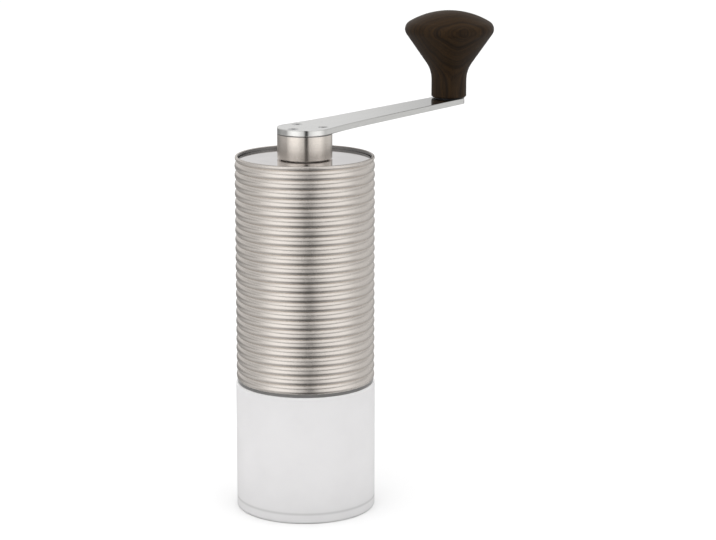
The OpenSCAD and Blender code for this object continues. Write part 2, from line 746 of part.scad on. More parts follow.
module burr_spring() {
    color("#8a8c8e") coil(spring_r, spring_wire, z_cone1, z_spring1, spring_turns);
}

module dial_stop_clip() {
    clip_in_r = thread_r - clip_groove;
    color("#77797b") c_clip(clip_in_r, clip_in_r + clip_w + clip_groove, z_stop0);
}

module inner_burr() {
    width = tooth_share * tooth_pitch;
    upper_h = cone_h - band_rise;
    flute_mid_r = (band_top_r + cone_top_r) / 2;
    flute_w = flute_share * 2 * PI * flute_mid_r / flute_count / 2;
    color("#8d8f92") difference() {
        rotate_extrude() polygon([[0, z_cone0], [cone_r, z_cone0], [band_top_r, z_cone0 + band_rise],
            [cone_top_r, z_cone1], [0, z_cone1]]);
        v_cuts(tooth_count, cone_r - band_h / 2 * tan(band_deg), z_cone0 + band_h / 2, band_deg, tooth_lean,
            band_h + 2 * cut_past, width, tooth_depth, 1);
        v_cuts(flute_count, flute_mid_r, z_cone1 - upper_h / 2, cone_deg, flute_lean, 2 * upper_h, flute_w,
            flute_depth, 1);
        translate([0, 0, z_cone0 - eps]) linear_extrude(cone_h + 2 * eps) flats_section(run_gap);
    }
}

module click_plate() {
    color("#b5b5b3") translate([0, 0, z_plate0]) linear_extrude(plate_t) difference() {
        circle(plate_r);
        flats_section(run_gap);
        for (i = [0:click_count - 1]) rotate(i * 360 / click_count)
            translate([click_r, 0]) circle(click_hole_r);
    }
}

module adjuster_dial() {
    color("#2f2f31") difference() {
        translate([0, 0, z_dial0]) linear_extrude(dial_h) difference() {
            circle(dial_r);
            for (i = [0:scallop_count - 1]) rotate((i + 0.5) * 360 / scallop_count)
                translate([dial_r + scallop_r / 2, 0]) circle(scallop_r);
        }
        bar(thread_r + run_gap, z_dial0 - eps, z_dial1 + eps);
        bar(shaft_r + clear_gap, z_dial1 - dial_relief_h, z_dial1 + eps);
        for (i = [0:click_ball_count - 1]) rotate(i * 360 / click_ball_count)
            translate([click_r, 0, z_dial1 - click_pocket_h])
                cylinder(r = click_ball_r + fit_gap, h = click_pocket_h + eps);
    }
}

module click_balls() {
    color("#c4c6c8") for (i = [0:click_ball_count - 1]) rotate(i * 360 / click_ball_count)
        translate([click_r, 0, z_dial1 - click_ball_r]) sphere(click_ball_r);
}

module click_springs() {
    z_foot = z_dial1 - click_pocket_h;
    color("#8a8c8e") for (i = [0:click_ball_count - 1]) rotate(i * 360 / click_ball_count)
        translate([click_r, 0, 0])
            coil(click_ball_r - click_wire, click_wire, z_foot, z_dial1 - click_ball_d, click_turns);
}

module lid() {
    edge = hub_edge;
    groove_in_r = lid_seal_ring_r - lid_seal_d / 2 - fit_gap;
    groove_h = lid_seal_d + 2 * fit_gap;
    color("#c4beb5") rotate_extrude() difference() {
        union() {
            polygon([[lid_bore_r, z_lid0], [lid_r, z_lid0], [lid_r, z_lid1 - edge], [lid_r - edge, z_lid1],
                [lid_bore_r, z_lid1]]);
            translate([skirt_in_r, z_skirt0]) square([skirt_wall, skirt_h]);
        }
        translate([groove_in_r, z_lid_seal - groove_h / 2]) square([skirt_wall, groove_h]);
    }
}

module lid_bush() {
    color("#e8e4da") {
        tube(bush_in_r, bush_r, z_lid0, z_lid1);
        tube(bush_in_r, bush_flange_r, z_lid1, z_hub0 - run_gap);
    }
}

module lid_seal() {
    color("#2b2b2b") rotate_extrude() translate([lid_seal_ring_r, z_lid_seal]) circle(lid_seal_d / 2);
}

module crank_hub() {
    socket_af = hex_af + 2 * run_gap;
    color("#c7c9cb") difference() {
        union() {
            bar(boss_r, z_boss0, z_hub0);
            rotate_extrude() polygon([[0, z_hub0], [hub_r - hub_edge, z_hub0], [hub_r, z_hub0 + hub_edge],
                [hub_r, z_hub1 - hub_edge], [hub_r - hub_edge, z_hub1], [0, z_hub1]]);
        }
        tube(boss_r - clip_groove, boss_d, z_hub_clip0, z_hub_clip1);
        translate([0, 0, z_boss0 - eps])
            cylinder(r = socket_af / 2 / cos(30), h = z_socket1 - z_boss0 + eps, $fn = 6);
        for (i = [0:arm_screw_count - 1]) rotate(first_arm_deg + i * 360 / arm_screw_count)
            translate([arm_screw_r, 0, z_arm1 - arm_screw_l - eps])
                cylinder(d = arm_screw_d + 2 * fit_gap, h = arm_screw_l);
    }
}

// Plan of the arm between its head and its tip, with a hollow blend on each side of the head
module arm_web() {
    difference() {
        polygon([blend_on_hub, blend_on_side, tip_on_side, [tip_on_side[0], -tip_on_side[1]],
            [blend_on_side[0], -blend_on_side[1]], [blend_on_hub[0], -blend_on_hub[1]]]);
        for (side = [1, -1]) translate([blend_axis[0], side * blend_axis[1]])
            circle(arm_blend_r + blend_bite, $fn = 720);
    }
}

module crank_arm() {
    color("#cfd0d2") difference() {
        translate([0, 0, z_hub1]) union() {
            cylinder(r = hub_r, h = arm_t);
            linear_extrude(arm_t) arm_web();
            translate([crank_len, 0, 0]) cylinder(r = arm_tip_r, h = arm_t);
        }
        for (i = [0:arm_screw_count - 1]) rotate(first_arm_deg + i * 360 / arm_screw_count)
            translate([arm_screw_r, 0, z_arm1]) mirror([0, 0, 1])
                countersunk_hole(arm_screw_d / 2, arm_screw_head_d / 2, arm_t);
        translate([crank_len, 0, z_hub1]) {
            cylinder(r1 = axle_head_r + fit_gap, r2 = axle_r + fit_gap, h = axle_head_h);
            translate([0, 0, -eps]) cylinder(r = axle_r + fit_gap, h = arm_t + 2 * eps);
        }
    }
}

module arm_screws() {
    color("#8e9092") for (i = [0:arm_screw_count - 1]) rotate(first_arm_deg + i * 360 / arm_screw_count)
        translate([arm_screw_r, 0, z_arm1]) mirror([0, 0, 1])
            countersunk_screw(arm_screw_d / 2, arm_screw_head_d / 2, arm_screw_l);
}

module hub_washer() {
    color("#b5b5b3") tube(boss_r + fit_gap, hub_washer_r, z_hub_clip1, z_hub_washer1);
}

module hub_circlip() {
    clip_in_r = boss_r - clip_groove;
    color("#77797b") c_clip(clip_in_r, clip_in_r + clip_w + clip_groove, z_hub_clip0);
}

module knob_axle() {
    socket_h = axle_head_h + arm_t / 2;
    color("#a9abad") translate([crank_len, 0, 0]) difference() {
        union() {
            translate([0, 0, z_hub1]) cylinder(r1 = axle_head_r, r2 = axle_r, h = axle_head_h);
            bar(axle_r, z_hub1, z_axle1);
        }
        tube(axle_r - clip_groove, axle_d, z_axle_clip0, z_axle_clip1);
        translate([0, 0, z_hub1 - eps]) cylinder(r = axle_key_share * axle_r, h = socket_h + eps, $fn = 6);
    }
}

module axle_clip() {
    color("#77797b") translate([crank_len, 0, 0]) c_clip(axle_r - clip_groove, axle_clip_r, z_axle_clip0);
}

module knob_washer() {
    color("#58585a") translate([crank_len, 0, 0])
        tube(axle_r + fit_gap, axle_washer_r, z_arm1, z_knob0 - run_gap);
}

module knob() {
    color("#2e241b") translate([crank_len, 0, z_knob0]) difference() {
        rotate_extrude() union() {
            difference() {
                polygon([[0, 0], [stem_r - knob_foot_edge, 0], [stem_r, knob_foot_edge], [stem_r, stem_h],
                    flare_end, edge_on_flare, edge_axis, [0, edge_axis_h]]);
                translate([stem_r + flare_r, stem_h]) circle(flare_r);
            }
            translate(edge_axis) circle(knob_edge_r);
            intersection() {
                translate([0, dome_axis_h]) circle(dome_r);
                polygon([[0, edge_axis_h - eps], edge_axis, edge_on_dome + edge_from_dome, [0, 2 * knob_h]]);
            }
        }
        translate([0, 0, -eps]) cylinder(r = knob_bore_r, h = knob_bore_h + eps);
    }
}

module knob_bush() {
    color("#b08d4a") translate([crank_len, 0, 0]) tube(knob_bush_in_r, knob_bush_r, z_knob0, z_bush1);
}

echo(burr_spring_gap = wire_gap(spring_r, spring_wire, 0, z_spring1 - z_cone1 - spring_wire, spring_turns));
echo(click_spring_gap = wire_gap(click_ball_r - click_wire, click_wire, 0,
    click_pocket_h - click_ball_d - click_wire, click_turns));

jar();
jar_seal();
body_sleeve();
burr_housing();
ring_burr();
burr_retainer();
burr_screws();
lower_spider();
hopper_liner();
upper_spider();
clamp_ring();
lower_outer_race();
lower_inner_race();
lower_balls();
lower_cage();
upper_outer_race();
upper_inner_race();
upper_balls();
upper_cage();
drive_shaft();
shaft_clips();
spring_washer();
burr_spring();
dial_stop_clip();
inner_burr();
click_plate();
adjuster_dial();
click_balls();
click_springs();
lid();
lid_bush();
lid_seal();
crank_hub();
crank_arm();
arm_screws();
hub_washer();
hub_circlip();
knob_axle();
axle_clip();
knob_washer();
knob();
knob_bush();
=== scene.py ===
"""Looks of the manual coffee grinder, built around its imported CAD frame."""

import math

import bpy
from mathutils import Euler, Matrix, Vector


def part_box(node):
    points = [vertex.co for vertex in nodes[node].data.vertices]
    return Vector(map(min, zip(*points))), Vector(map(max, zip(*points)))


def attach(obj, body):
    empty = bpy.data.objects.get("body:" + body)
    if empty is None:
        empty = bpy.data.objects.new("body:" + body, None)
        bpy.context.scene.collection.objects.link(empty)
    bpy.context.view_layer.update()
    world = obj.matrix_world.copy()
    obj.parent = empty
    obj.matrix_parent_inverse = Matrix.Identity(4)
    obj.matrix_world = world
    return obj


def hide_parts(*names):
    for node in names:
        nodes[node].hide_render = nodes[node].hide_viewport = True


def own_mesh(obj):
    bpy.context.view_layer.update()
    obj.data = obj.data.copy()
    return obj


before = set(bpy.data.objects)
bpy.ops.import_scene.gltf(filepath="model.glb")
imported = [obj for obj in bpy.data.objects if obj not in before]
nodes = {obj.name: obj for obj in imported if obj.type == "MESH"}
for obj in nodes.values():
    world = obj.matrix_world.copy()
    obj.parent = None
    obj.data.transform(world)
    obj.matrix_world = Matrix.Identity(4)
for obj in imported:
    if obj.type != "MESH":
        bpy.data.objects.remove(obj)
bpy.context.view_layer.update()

MM = 0.001

# Directions seen from the camera's side of the object
ARM_TURN = math.radians(54.5)
RIGHT = Vector((math.cos(ARM_TURN), -math.sin(ARM_TURN), 0))
AWAY = Vector((math.sin(ARM_TURN), math.cos(ARM_TURN), 0))
UP = Vector((0, 0, 1))


def place(right, away, up):
    """A point given in metres to the right of the axis, away from the camera and above the floor."""
    return right * RIGHT + away * AWAY + up * UP


# Camera, at the photograph's angle
CAMERA_PLACE = place(0.0228, -0.901257, 0.30488)
CAMERA_PITCH = math.radians(12.508)
CAMERA_ROLL = math.radians(0.1)
CAMERA_LENS = 107.497
SENSOR_WIDTH = 36.0

camera_data = bpy.data.cameras.new("camera")
camera_data.lens = CAMERA_LENS
camera_data.sensor_width = SENSOR_WIDTH
camera_data.sensor_fit = "HORIZONTAL"
camera = bpy.data.objects.new("camera", camera_data)
camera.location = CAMERA_PLACE
aim = Euler((math.radians(90) - CAMERA_PITCH, 0, -ARM_TURN)).to_matrix()
camera.rotation_euler = (aim @ Matrix.Rotation(CAMERA_ROLL, 3, "Z")).to_euler()
bpy.context.scene.collection.objects.link(camera)
bpy.context.scene.camera = camera
bpy.context.scene.view_settings.view_transform = "Standard"


# Node helpers

def set_inputs(tree, target, values):
    """Links a node's inputs to sockets, or sets them to plain values."""
    for key, value in values.items():
        if isinstance(value, bpy.types.NodeSocket):
            tree.links.new(value, target.inputs[key])
        else:
            target.inputs[key].default_value = value


def node(tree, kind, values=None, **settings):
    """Adds a node, sets its options, and links or sets its inputs."""
    made = tree.nodes.new(kind)
    for key, value in settings.items():
        setattr(made, key, value)
    set_inputs(tree, made, values or {})
    return made


def start_material(name):
    """A new material with one Principled shader, and its tree."""
    material = bpy.data.materials.new(name)
    material.use_nodes = True
    tree = material.node_tree
    tree.nodes.clear()
    shader = node(tree, "ShaderNodeBsdfPrincipled")
    node(tree, "ShaderNodeOutputMaterial", {"Surface": shader.outputs["BSDF"]})
    return material, tree, shader


def math_node(tree, operation, a, b=0.0):
    return node(tree, "ShaderNodeMath", {0: a, 1: b}, operation=operation).outputs[0]


def vector_math(tree, operation, a, b=(0, 0, 0), output="Vector"):
    return node(tree, "ShaderNodeVectorMath", {0: a, 1: b}, operation=operation).outputs[output]


def one_part(tree, vector, axis):
    """One of a vector's three parts."""
    return node(tree, "ShaderNodeSeparateXYZ", {0: vector}).outputs[axis]


def spot(tree):
    """A point's place in the object's own frame, in metres."""
    return node(tree, "ShaderNodeTexCoord").outputs["Object"]


def stretch(tree, vector, factors):
    return vector_math(tree, "MULTIPLY", vector, factors)


def from_axis(tree, centre=(0, 0)):
    """Distance from a vertical axis and height, as a vector (r, 0, z), for marks left by a lathe."""
    point = spot(tree)
    flat = stretch(tree, vector_math(tree, "SUBTRACT", point, (*centre, 0)), (1, 1, 0))
    radius = vector_math(tree, "LENGTH", flat, output="Value")
    return node(tree, "ShaderNodeCombineXYZ", {"X": radius, "Z": one_part(tree, point, "Z")}).outputs[0]


def noise(tree, vector, scale, detail=2.0, roughness=0.5):
    inputs = {"Vector": vector, "Scale": scale, "Detail": detail, "Roughness": roughness}
    return node(tree, "ShaderNodeTexNoise", inputs).outputs["Fac"]


def span(tree, value, low, high, to_low, to_high):
    """Maps a value from one range to another and holds it there."""
    inputs = {"Value": value, "From Min": low, "From Max": high, "To Min": to_low, "To Max": to_high}
    return node(tree, "ShaderNodeMapRange", inputs).outputs["Result"]


# Places of the two colours and the result among the Mix node's sockets
MIX_FROM = 6
MIX_TO = 7
MIX_RESULT = 2


def blend_colours(tree, factor, a, b):
    """A colour that goes from a to b as the factor goes from 0 to 1."""
    start, end = (c if isinstance(c, bpy.types.NodeSocket) else (*c, 1) for c in (a, b))
    inputs = {"Factor": factor, MIX_FROM: start, MIX_TO: end}
    return node(tree, "ShaderNodeMix", inputs, data_type="RGBA").outputs[MIX_RESULT]


def bump(tree, height, distance, edge_r=0.0):
    """A relief, on edges that are eased to a radius."""
    made = node(tree, "ShaderNodeBump", {"Height": height, "Distance": distance, "Strength": 1.0})
    if edge_r:
        eased = node(tree, "ShaderNodeBevel", {"Radius": edge_r}, samples=8)
        tree.links.new(eased.outputs["Normal"], made.inputs["Normal"])
    return made.outputs["Normal"]


def tangent(tree):
    return node(tree, "ShaderNodeTangent", direction_type="RADIAL", axis="Z").outputs[0]


# Ranges that hold most of a noise, and of the noise of fine lines
NOISE_LOW = 0.3
NOISE_HIGH = 0.7
LINE_LOW = 0.35
LINE_HIGH = 0.65


def shade(colour, factor):
    """A colour made darker by a factor."""
    return tuple(factor * part for part in colour)


def mottled(tree, field, dull, bright):
    """A colour that wanders between two tones with a noise."""
    return blend_colours(tree, span(tree, field, NOISE_LOW, NOISE_HIGH, 0.0, 1.0), dull, bright)


def wander(tree, field, low, high):
    """A value that wanders between two limits with a noise."""
    return span(tree, field, NOISE_LOW, NOISE_HIGH, low, high)


def wander_both(tree, field, other_field, low, high):
    """A value that wanders between two limits with the sum of two noises."""
    both = math_node(tree, "ADD", field, other_field)
    return span(tree, both, 2 * NOISE_LOW, 2 * NOISE_HIGH, low, high)


# Metals

# Least and greatest roughness of a metal, as shares of its mean
SMOOTHEST = 0.8
ROUGHEST = 1.25

# Sizes of the cloudy changes of tone
LATHE_CLOUD = 9 * MM
BRUSHED_CLOUD = 7 * MM
GROUND_CLOUD = 5 * MM

# Tones of the darkest places, as shares of the colour
LATHE_LINE_TONE = 0.82
BRUSHED_LINE_TONE = 0.9
GROUND_CLOUD_TONE = 0.86

# Painted shade: the dark bore of the sleeve, and the dark line under the arm
PAINTED_SHADE_TONE = (0.25, 0.244, 0.238)
BORE_TOP_R = 28.72 * MM
BORE_FADE = 0.08 * MM
SEAM_LINE_H = 0.4 * MM
SEAM_FADE = 0.05 * MM


def lathe_metal(name, colour, rough, line_mm=0.18, depth_mm=0.004, line_tone=0.35, grain=0.5,
                grain_turn=0.25, centre=(0, 0), stain=0.06, dark=None):
    """Turned metal: fine rings round a vertical axis, with uneven gloss and a faint change of tone.

    A quarter turn of the grain spreads reflections across the rings, none spreads them along the rings.
    dark is a function that gives how much painted shade a place gets, from 0 to 1.
    """
    material, tree, shader = start_material(name)
    ring = from_axis(tree, centre)
    fine = noise(tree, ring, 1 / (line_mm * MM), detail=3.0, roughness=0.65)
    broad = noise(tree, spot(tree), 1 / LATHE_CLOUD, detail=3.0)
    tone = mottled(tree, broad, shade(colour, 1 - 2 * stain), colour)
    in_line = span(tree, fine, LINE_LOW, LINE_HIGH, 0.0, line_tone)
    tone = blend_colours(tree, in_line, tone, shade(colour, LATHE_LINE_TONE))
    # Painted shade: places that the dark function picks are blended towards a dark tone
    if dark:
        tone = blend_colours(tree, dark(tree, ring), tone, PAINTED_SHADE_TONE)
    gloss = wander_both(tree, fine, broad, rough * SMOOTHEST, rough * ROUGHEST)
    set_inputs(tree, shader, {"Base Color": tone, "Metallic": 1.0, "Roughness": gloss,
                              "Anisotropic": grain, "Anisotropic Rotation": grain_turn,
                              "Tangent": tangent(tree), "Normal": bump(tree, fine, depth_mm * MM)})
    return material


def painted_bore_shade(tree, ring):
    """The inside of the sleeve, darkened with painted shade."""
    radius = one_part(tree, ring, "X")
    return span(tree, radius, BORE_TOP_R, BORE_TOP_R + BORE_FADE, 1.0, 0.0)


def painted_shade_under_arm(tree, ring):
    """Painted shade: a dark line round the top edge of the hub, where the arm lies on it."""
    height = one_part(tree, ring, "Z")
    line_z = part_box("crank_hub")[1].z - SEAM_LINE_H
    return span(tree, height, line_z, line_z + SEAM_FADE, 0.0, 1.0)


def brushed_metal(name, colour, rough, along=(0.02, 1.0, 1.0), line_mm=0.16, depth_mm=0.003, edge_mm=0.0):
    """Metal with straight fine lines along one axis, and edges eased to a radius."""
    material, tree, shader = start_material(name)
    point = stretch(tree, spot(tree), along)
    fine = noise(tree, point, 1 / (line_mm * MM), detail=3.0, roughness=0.6)
    broad = noise(tree, spot(tree), 1 / BRUSHED_CLOUD, detail=2.0)
    between_lines = span(tree, fine, LINE_LOW, LINE_HIGH, 0.0, 1.0)
    tone = blend_colours(tree, between_lines, shade(colour, BRUSHED_LINE_TONE), colour)
    gloss = wander_both(tree, fine, broad, rough * SMOOTHEST, rough * ROUGHEST)
    set_inputs(tree, shader, {"Base Color": tone, "Metallic": 1.0, "Roughness": gloss,
                              "Normal": bump(tree, fine, depth_mm * MM, edge_mm * MM)})
    return material


def ground_metal(name, colour, rough, grit_mm=0.25, depth_mm=0.01):
    """Metal with an even ground or tumbled surface."""
    material, tree, shader = start_material(name)
    grit = noise(tree, spot(tree), 1 / (grit_mm * MM), detail=4.0, roughness=0.7)
    broad = noise(tree, spot(tree), 1 / GROUND_CLOUD, detail=2.0)
    tone = mottled(tree, broad, shade(colour, GROUND_CLOUD_TONE), colour)
    gloss = wander(tree, grit, rough * SMOOTHEST, rough * ROUGHEST)
    set_inputs(tree, shader, {"Base Color": tone, "Metallic": 1.0, "Roughness": gloss,
                              "Normal": bump(tree, grit, depth_mm * MM)})
    return material


# Plastics, rubber and wood
MOULDED_CLOUD = 6 * MM
MOULDED_CLOUD_TONE = 0.85
MOULDED_SMOOTHEST = 0.85
MOULDED_ROUGHEST = 1.15
SHEEN_ROUGHNESS = 0.3


def moulded(name, colour, rough, grit_mm=0.35, depth_mm=0.012, sheen=0.0):
    """Plastic or rubber with a fine moulded grain, and a sheen at glancing angles."""
    material, tree, shader = start_material(name)
    grit = noise(tree, spot(tree), 1 / (grit_mm * MM), detail=3.0, roughness=0.6)
    broad = noise(tree, spot(tree), 1 / MOULDED_CLOUD, detail=2.0)
    tone = mottled(tree, broad, shade(colour, MOULDED_CLOUD_TONE), colour)
    gloss = wander(tree, grit, rough * MOULDED_SMOOTHEST, min(1.0, rough * MOULDED_ROUGHEST))
    set_inputs(tree, shader, {"Base Color": tone, "Roughness": gloss, "Sheen Weight": sheen,
                              "Sheen Roughness": SHEEN_ROUGHNESS,
                              "Normal": bump(tree, grit, depth_mm * MM)})
    return material


JAR_DULL = (0.914, 0.904, 0.908)
JAR_BRIGHT = (0.946, 0.936, 0.94)
JAR_SHADE_TONE = (0.5, 0.5, 0.49)
JAR_CLOUD = 14 * MM
ETCH_PITCH = 0.3 * MM
ETCH_DEPTH = 0.006 * MM
ETCH_ROUGHNESS = (0.46, 0.6)

# Painted shade on the jar, at the floor's line, the foot's edge and over the thick base: where each fades
# out, and how dark its tone gets
JAR_LINE_Z = 4.3 * MM
JAR_LINE_FADE = (0.1 * MM, 0.8 * MM)
JAR_LINE_DEPTH = 0.42
JAR_FOOT_FADE = (0.3 * MM, 1.2 * MM)
JAR_FOOT_DEPTH = 0.4
JAR_BASE_FADE = (5 * MM, 24 * MM)
JAR_BASE_DEPTH = 0.11


def frosted_glass(name):
    """Etched milky plastic: some light passes. A painted dark line stands for the floor's upper edge seen
    through the wall, and painted shade darkens the foot's edge and the lower part over the thick base.
    """
    material, tree, shader = start_material(name)
    etch = noise(tree, spot(tree), 1 / ETCH_PITCH, detail=3.0, roughness=0.7)
    broad = noise(tree, spot(tree), 1 / JAR_CLOUD, detail=2.0)
    tone = mottled(tree, broad, JAR_DULL, JAR_BRIGHT)
    height = one_part(tree, spot(tree), "Z")
    # Painted shade: a faint dark line for the inner floor's edge seen through the wall, a darker foot edge,
    # and darker towards the bottom over the thick base
    from_line = math_node(tree, "ABSOLUTE", math_node(tree, "SUBTRACT", height, JAR_LINE_Z))
    line = span(tree, from_line, *JAR_LINE_FADE, JAR_LINE_DEPTH, 0.0)
    foot = span(tree, height, *JAR_FOOT_FADE, JAR_FOOT_DEPTH, 0.0)
    base = span(tree, height, *JAR_BASE_FADE, JAR_BASE_DEPTH, 0.0)
    painted_shade = math_node(tree, "ADD", math_node(tree, "ADD", line, foot), base)
    gloss = wander_both(tree, etch, broad, *ETCH_ROUGHNESS)
    set_inputs(tree, shader, {"Base Color": blend_colours(tree, painted_shade, tone, JAR_SHADE_TONE), "Roughness": gloss,
                              "IOR": 1.49, "Transmission Weight": 0.25, "Specular IOR Level": 0.35,
                              "Normal": bump(tree, etch, ETCH_DEPTH)})
    return material


KNOB_AXIS = (0.112, 0.0)
GRAIN_TURN = math.radians(14)
LAYER_PITCH = 1.6 * MM
FINE_LAYER_PITCH = 0.7 * MM
LAYER_SWAY = 1.3 * MM
SWAY_LENGTH = 14 * MM
SWAY_STRETCH = (1, 1, 0.35)
SWAY_RANGE = (0.2, 0.8)
BAND_RANGE = (0.15, 0.85)
FIBRE_PITCH = 0.35 * MM
FIBRE_STRETCH = (1, 1, 0.05)
PORE_RANGE = (0.52, 0.66)
PORE_SHARE = 0.75
WOOD_ROUGHNESS = (0.44, 0.56)
LAYER_RELIEF = 0.4
WOOD_RELIEF = 0.03 * MM
WOOD_DARK = (0.009, 0.0042, 0.001)
WOOD_PALE = (0.036, 0.0178, 0.0047)
WOOD_PORE = (0.007, 0.0036, 0.0012)


def dark_wood(name):
    """Dark turned wood. Its growth layers stand upright and nearly square to the camera, so they show as
    streaks on the stem and as arches on the flare."""
    material, tree, shader = start_material(name)
    point = vector_math(tree, "SUBTRACT", spot(tree), (*KNOB_AXIS, 0))
    sway = noise(tree, stretch(tree, point, SWAY_STRETCH), 1 / SWAY_LENGTH, detail=2.0)
    across = (-AWAY * math.cos(GRAIN_TURN) + RIGHT * math.sin(GRAIN_TURN)).normalized()
    depth = vector_math(tree, "DOT_PRODUCT", point, across, "Value")
    swayed = math_node(tree, "ADD", depth, span(tree, sway, *SWAY_RANGE, -LAYER_SWAY, LAYER_SWAY))
    through = node(tree, "ShaderNodeCombineXYZ", {"X": swayed}).outputs[0]
    layer = noise(tree, through, 1 / LAYER_PITCH, detail=1.0)
    fine_layer = noise(tree, through, 1 / FINE_LAYER_PITCH, detail=3.0)
    fibre = noise(tree, stretch(tree, point, FIBRE_STRETCH), 1 / FIBRE_PITCH, detail=3.0, roughness=0.6)
    band = math_node(tree, "ADD", wander(tree, layer, 0, 0.5), wander(tree, fine_layer, 0, 0.5))
    base = blend_colours(tree, span(tree, band, *BAND_RANGE, 0.0, 1.0), WOOD_DARK, WOOD_PALE)
    pores = span(tree, fibre, *PORE_RANGE, 0.0, PORE_SHARE)
    tone = blend_colours(tree, pores, base, WOOD_PORE)
    gloss = wander(tree, fibre, *WOOD_ROUGHNESS)
    relief = math_node(tree, "SUBTRACT", math_node(tree, "MULTIPLY", band, LAYER_RELIEF), fibre)
    set_inputs(tree, shader, {"Base Color": tone, "Roughness": gloss, "Specular IOR Level": 0.15,
                              "Normal": bump(tree, relief, WOOD_RELIEF)})
    return material


# Finishes
steel_body = lathe_metal("ribbed_steel", (0.782, 0.728, 0.677), 0.26, line_mm=0.16, depth_mm=0.0012,
                         line_tone=0.18, grain=0.7, grain_turn=0.0, stain=0.03, dark=painted_bore_shade)
steel_lid = lathe_metal("lid_steel", (0.806, 0.772, 0.763), 0.06, line_mm=0.14, depth_mm=0.0003, grain=0.3)
steel_hub = lathe_metal("polished_steel", (0.84, 0.775, 0.71), 0.22, line_mm=0.22, depth_mm=0.001,
                        grain=0.95, dark=painted_shade_under_arm)
steel_arm = brushed_metal("arm_steel", (0.79, 0.785, 0.765), 0.11, edge_mm=0.7)
alloy_dark = lathe_metal("dark_alloy", (0.10, 0.10, 0.105), 0.42, line_mm=0.3, depth_mm=0.006)
liner = moulded("liner_plastic", (0.02, 0.02, 0.022), 0.5)
steel_burr = ground_metal("burr_steel", (0.42, 0.42, 0.43), 0.34)
steel_bearing = lathe_metal("bearing_steel", (0.66, 0.66, 0.67), 0.14, depth_mm=0.001)
brass = lathe_metal("brass", (0.62, 0.45, 0.19), 0.28)
brass_knob = lathe_metal("knob_brass", (0.62, 0.45, 0.19), 0.28, centre=KNOB_AXIS)
steel_spring = ground_metal("spring_steel", (0.46, 0.47, 0.48), 0.3, depth_mm=0.003)
steel_screw = ground_metal("screw_steel", (0.56, 0.56, 0.56), 0.3, depth_mm=0.003)
steel_shaft = lathe_metal("shaft_steel", (0.58, 0.58, 0.59), 0.24)
steel_axle = lathe_metal("axle_steel", (0.58, 0.58, 0.59), 0.24, centre=KNOB_AXIS)
plastic_white = moulded("white_plastic", (0.78, 0.76, 0.70), 0.45)
rubber = moulded("dark_rubber", (0.022, 0.022, 0.022), 0.62, depth_mm=0.02)
rubber_grey = moulded("grey_rubber", (0.152, 0.149, 0.144), 0.35, depth_mm=0.006, sheen=0.6)
wood = dark_wood("dark_wood")
jar_glass = frosted_glass("frosted_jar")

FINISH = {
    "jar": jar_glass, "jar_seal": rubber_grey, "lid_seal": rubber,
    "body_sleeve": steel_body, "lid": steel_lid, "crank_hub": steel_hub, "crank_arm": steel_arm,
    "burr_housing": alloy_dark, "lower_spider": alloy_dark, "upper_spider": alloy_dark,
    "clamp_ring": alloy_dark, "adjuster_dial": alloy_dark, "hopper_liner": liner,
    "ring_burr": steel_burr, "inner_burr": steel_burr,
    "burr_retainer": steel_shaft, "click_plate": steel_shaft, "spring_washer": steel_shaft,
    "hub_washer": steel_shaft, "drive_shaft": steel_shaft, "knob_axle": steel_axle,
    "lower_outer_race": steel_bearing, "lower_inner_race": steel_bearing, "lower_balls": steel_bearing,
    "upper_outer_race": steel_bearing, "upper_inner_race": steel_bearing, "upper_balls": steel_bearing,
    "click_balls": steel_bearing, "lower_cage": brass, "upper_cage": brass, "knob_bush": brass_knob,
    "shaft_clips": steel_spring, "dial_stop_clip": steel_spring, "hub_circlip": steel_spring,
    "axle_clip": steel_spring, "burr_spring": steel_spring, "click_springs": steel_spring,
    "burr_screws": steel_spring, "arm_screws": steel_screw,
    # The knob washer gets the near-black liner plastic as painted shade for the gap under the knob
    "lid_bush": plastic_white, "knob_washer": liner, "knob": wood,
}
for name, material in FINISH.items():
    nodes[name].data.materials.clear()
    nodes[name].data.materials.append(material)


def mesh_object(name, verts, faces):
    """A new object in the scene, made from corners and faces."""
    mesh = bpy.data.meshes.new(name)
    mesh.from_pydata(verts, [], faces)
    made = bpy.data.objects.new(name, mesh)
    bpy.context.scene.collection.objects.link(made)
    return made


# Burr spring, wound as smooth wire in the place of the CAD wire
BURR_WIRE = 1.2 * MM
BURR_TURNS = 4.5
COIL_CLOSING = 0.25
QUAD = 4


def tube_along(name, points, wire_r, sides=12):
    """A closed tube along a list of points, smooth along its length."""
    count = len(points)
    verts, faces = [], []
    for k, point in enumerate(points):
        ahead = (points[min(k + 1, count - 1)] - points[max(k - 1, 0)]).normalized()
        side = ahead.cross(UP).normalized()
        lift = side.cross(ahead).normalized()
        for j in range(sides):
            turn = 2 * math.pi * j / sides
            verts.append(point + wire_r * (math.cos(turn) * side + math.sin(turn) * lift))
    for k in range(count - 1):
        for j in range(sides):
            a = k * sides + j
            b = k * sides + (j + 1) % sides
            faces.append((a, b, b + sides, a + sides))
    faces.append(tuple(range(sides))[::-1])
    faces.append(tuple((count - 1) * sides + j for j in range(sides)))
    made = mesh_object(name, verts, faces)
    for polygon in made.data.polygons:
        polygon.use_smooth = len(polygon.vertices) == QUAD
    return made


def coil_points(centre, mean_r, z0, z1, turns, per_turn=36):
    """Centre line of a coil spring whose end turns lie closer than its middle turns."""
    count = round(turns * per_turn)
    points = []
    for k in range(count + 1):
        t = k / count
        climb = t - math.sin(2 * math.pi * t) / (2 * math.pi) * COIL_CLOSING
        turn = 2 * math.pi * turns * t
        points.append(Vector((centre[0] + mean_r * math.cos(turn), centre[1] + mean_r * math.sin(turn),
                              z0 + (z1 - z0) * climb)))
    return points


